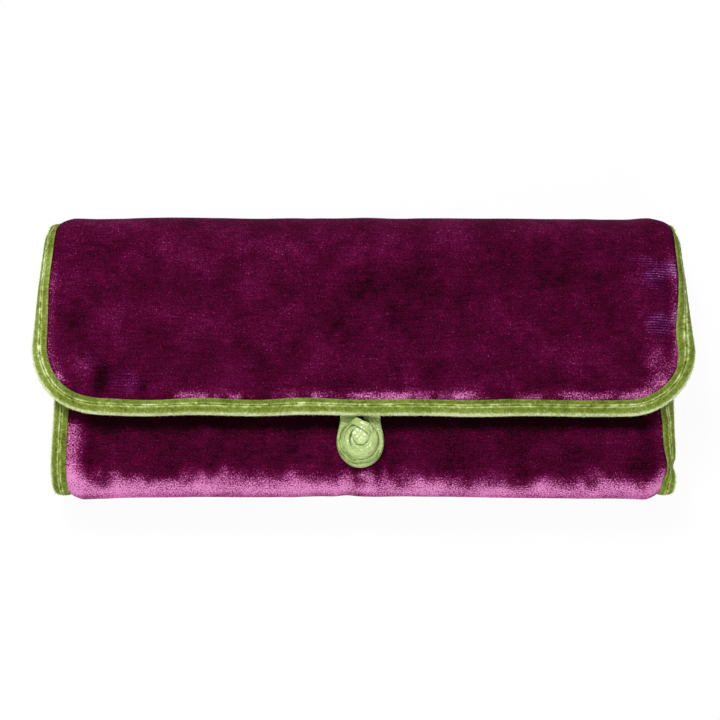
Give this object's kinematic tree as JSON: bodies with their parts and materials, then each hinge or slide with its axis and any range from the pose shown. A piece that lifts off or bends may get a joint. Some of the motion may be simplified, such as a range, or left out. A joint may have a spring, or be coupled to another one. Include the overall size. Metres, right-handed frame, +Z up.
{
  "type": "jewelry roll",
  "caption": "Padded velvet jewelry roll folded in three, with bound edges, zipped pockets, a ring bar and a ribbon loop that closes over a rosette button.",
  "frame": {"origin": "centre of the closed roll's footprint, on the surface that its back panel lies on", "axes": "+X along the folds, +Y from the bottom fold to the top fold, +Z up through the flap"},
  "size_m": [0.23, 0.102, 0.032],
  "materials": {
    "plum_velvet": "silk velvet pile",
    "green_velvet": "velvet ribbon",
    "wadding": "soft wadding",
    "green_satin": "satin",
    "zip_tape": "woven tape",
    "zip_coil": "nylon coil",
    "brass": "antiqued"
  },
  "bodies": {
    "back": {"back_velvet": "plum_velvet", "back_padding": "wadding", "back_lining": "green_satin", "back_binding_left": "green_velvet", "back_binding_right": "green_velvet", "back_pocket": "green_satin", "back_zip_tape": "zip_tape", "back_zip_teeth": "zip_coil", "back_zip_stop_left": "brass", "back_zip_stop_right": "brass", "ring_bar_anchor": "green_satin", "ring_bar_snap_stud": "brass"},
    "top_fold": {"top_fold_velvet": "plum_velvet", "top_fold_padding": "wadding", "top_fold_lining": "green_satin", "top_fold_binding_left": "green_velvet", "top_fold_binding_right": "green_velvet"},
    "flap": {"flap_velvet": "plum_velvet", "flap_padding": "wadding", "flap_lining": "green_satin", "flap_binding": "green_velvet", "flap_pocket": "green_satin", "flap_zip_tape": "zip_tape", "flap_zip_teeth": "zip_coil", "flap_zip_stop_left": "brass", "flap_zip_stop_right": "brass", "closure_loop_end_left": "green_satin", "closure_loop_end_right": "green_satin"},
    "bottom_fold": {"bottom_fold_velvet": "plum_velvet", "bottom_fold_padding": "wadding", "bottom_fold_lining": "green_satin", "bottom_fold_binding_left": "green_velvet", "bottom_fold_binding_right": "green_velvet"},
    "front": {"front_velvet": "plum_velvet", "front_padding": "wadding", "front_lining": "green_satin", "front_binding": "green_velvet", "front_pocket": "green_satin", "front_zip_tape": "zip_tape", "front_zip_teeth": "zip_coil", "front_zip_stop_left": "brass", "front_zip_stop_right": "brass", "button_base": "green_satin", "button_rosette": "green_satin"},
    "loop": {"closure_loop": "green_satin"},
    "back_slider": {"back_zip_slider": "brass"},
    "back_pull": {"back_zip_pull": "brass"},
    "front_slider": {"front_zip_slider": "brass"},
    "front_pull": {"front_zip_pull": "brass"},
    "flap_slider": {"flap_zip_slider": "brass"},
    "flap_pull": {"flap_zip_pull": "brass"},
    "ring_bar": {"ring_bar": "plum_velvet", "ring_bar_tab": "green_satin", "ring_bar_snap_cap": "brass"}
  },
  "joints": [
    {"name": "top_fold_open", "type": "hinge", "parent": "back", "child": "top_fold", "pos_m": [0, 0.04631, 0.00469], "axis": [-1, 0, 0], "range_deg": [0, 90]},
    {"name": "flap_open", "type": "hinge", "parent": "top_fold", "child": "flap", "pos_m": [0, 0.04631, 0.02731], "axis": [-1, 0, 0], "range_deg": [0, 90]},
    {"name": "bottom_fold_open", "type": "hinge", "parent": "back", "child": "bottom_fold", "pos_m": [0, -0.04734, 0.00366], "axis": [1, 0, 0], "range_deg": [0, 80]},
    {"name": "front_open", "type": "hinge", "parent": "bottom_fold", "child": "front", "pos_m": [0, -0.04734, 0.02134], "axis": [1, 0, 0], "range_deg": [0, 80]},
    {"name": "loop_lift", "type": "hinge", "parent": "flap", "child": "loop", "pos_m": [0, -0.02615, 0.0264], "axis": [-1, 0, 0], "range_deg": [0, 45]},
    {"name": "back_zip", "type": "slide", "parent": "back", "child": "back_slider", "axis": [-1, 0, 0], "range_m": [0, 0.15]},
    {"name": "back_pull_lift", "type": "hinge", "parent": "back_slider", "child": "back_pull", "pos_m": [0.076, -0.004, 0.0102], "axis": [0, -1, 0], "range_deg": [0, 30]},
    {"name": "front_zip", "type": "slide", "parent": "front", "child": "front_slider", "axis": [-1, 0, 0], "range_m": [0, 0.15]},
    {"name": "front_pull_lift", "type": "hinge", "parent": "front_slider", "child": "front_pull", "pos_m": [0.076, -0.03, 0.0148], "axis": [0, 1, 0], "range_deg": [0, 30]},
    {"name": "flap_zip", "type": "slide", "parent": "flap", "child": "flap_slider", "axis": [-1, 0, 0], "range_m": [0, 0.15]},
    {"name": "flap_pull_lift", "type": "hinge", "parent": "flap_slider", "child": "flap_pull", "pos_m": [0.076, 0.008, 0.0218], "axis": [0, 1, 0], "range_deg": [0, 30]},
    {"name": "ring_bar_swing", "type": "hinge", "parent": "back", "child": "ring_bar", "pos_m": [-0.08215, 0.016, 0.0113], "axis": [0, 0, 1], "range_deg": [0, 5]}
  ],
  "couplings": [
    {"joint": "flap_open", "follows": "top_fold_open", "ratio": 1},
    {"joint": "bottom_fold_open", "follows": "top_fold_open", "ratio": 0.88},
    {"joint": "front_open", "follows": "top_fold_open", "ratio": 0.88}
  ]
}
